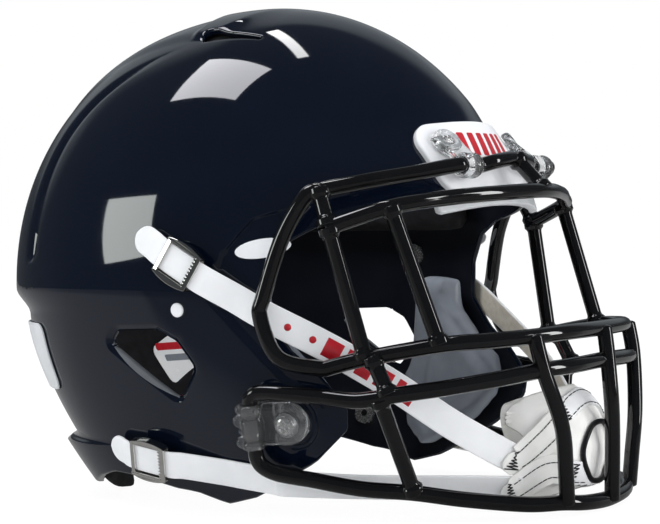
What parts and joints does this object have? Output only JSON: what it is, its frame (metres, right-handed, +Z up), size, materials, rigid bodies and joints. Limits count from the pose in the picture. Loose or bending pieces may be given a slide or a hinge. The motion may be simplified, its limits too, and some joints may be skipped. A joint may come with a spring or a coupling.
{
  "type": "american football helmet",
  "caption": "Glossy youth football helmet: moulded shell with ear holes and vents, padded liner, welded wire face guard that swings up on clips, and a chin strap on snaps.",
  "frame": {"origin": "on the floor under the middle of the whole helmet", "axes": "+Z up, the face looks along -Y, +X is the wearer's left"},
  "size_m": [0.232, 0.3144, 0.2354],
  "materials": {
    "shell_plastic": "high gloss",
    "white_plastic": "gloss",
    "grey_plastic": "satin",
    "clear_plastic": "clear",
    "steel": "satin",
    "nickel": "polished",
    "black_foam": "matte",
    "grey_vinyl": "satin",
    "black_plastic": "satin",
    "cup_leather": "satin",
    "cup_lining": "matte",
    "strap_vinyl": "satin",
    "guard_vinyl": "gloss"
  },
  "bodies": {
    "helmet": {"shell": "shell_plastic", "front_bumper": "white_plastic", "rear_bumper": "grey_plastic", "hole_plugs": "white_plastic", "top_clip_right": "clear_plastic", "top_clip_left": "clear_plastic", "top_clip_screws": "steel", "top_clip_nuts": "steel", "side_clip_nuts": "steel", "snap_studs": "steel", "stud_nuts": "steel", "brow_pad": "black_foam", "crown_pad": "black_foam", "side_pad_right": "black_foam", "side_pad_left": "black_foam", "rear_pad": "black_foam", "neck_pad": "black_foam", "jaw_pad_right": "grey_vinyl", "jaw_pad_left": "grey_vinyl", "jaw_pad_snaps": "black_plastic", "chin_cup": "cup_leather", "chin_cup_lining": "cup_lining", "strap_upper_right": "strap_vinyl", "strap_upper_left": "strap_vinyl", "strap_lower_right": "strap_vinyl", "strap_lower_left": "strap_vinyl"},
    "facemask": {"brow_bar": "guard_vinyl", "upper_bar": "guard_vinyl", "nose_bar": "guard_vinyl", "mouth_bar": "guard_vinyl", "chin_bar": "guard_vinyl", "side_frames": "guard_vinyl", "clip_loops": "guard_vinyl", "temple_struts": "guard_vinyl", "brow_strut": "guard_vinyl", "eye_bars": "guard_vinyl", "cheek_struts": "guard_vinyl", "jaw_bars": "guard_vinyl", "front_bars": "guard_vinyl", "side_clip_right": "clear_plastic", "side_clip_left": "clear_plastic", "side_clip_screws": "steel", "side_clip_washers": "clear_plastic"},
    "snap_upper_right": {"buckle_upper_right": "nickel", "socket_upper_right": "nickel"},
    "snap_upper_left": {"buckle_upper_left": "nickel", "socket_upper_left": "nickel"},
    "snap_lower_right": {"buckle_lower_right": "nickel", "socket_lower_right": "nickel"},
    "snap_lower_left": {"buckle_lower_left": "nickel", "socket_lower_left": "nickel"}
  },
  "joints": [
    {"name": "facemask_swing", "type": "hinge", "parent": "helmet", "child": "facemask", "pos_m": [0, -0.10239, 0.154], "axis": [-1, 0, 0], "range_deg": [0, 70]},
    {"name": "unsnap_upper_right", "type": "slide", "parent": "helmet", "child": "snap_upper_right", "axis": [-0.991, -0.1028, 0.0858], "range_m": [0, 0.006], "deforming": ["strap_upper_right"]},
    {"name": "unsnap_upper_left", "type": "slide", "parent": "helmet", "child": "snap_upper_left", "axis": [0.991, -0.1028, 0.0858], "range_m": [0, 0.006], "deforming": ["strap_upper_left"]},
    {"name": "unsnap_lower_right", "type": "slide", "parent": "helmet", "child": "snap_lower_right", "axis": [-0.9558, 0.053, -0.2892], "range_m": [0, 0.006], "deforming": ["strap_lower_right"]},
    {"name": "unsnap_lower_left", "type": "slide", "parent": "helmet", "child": "snap_lower_left", "axis": [0.9558, 0.053, -0.2892], "range_m": [0, 0.006], "deforming": ["strap_lower_left"]}
  ]
}
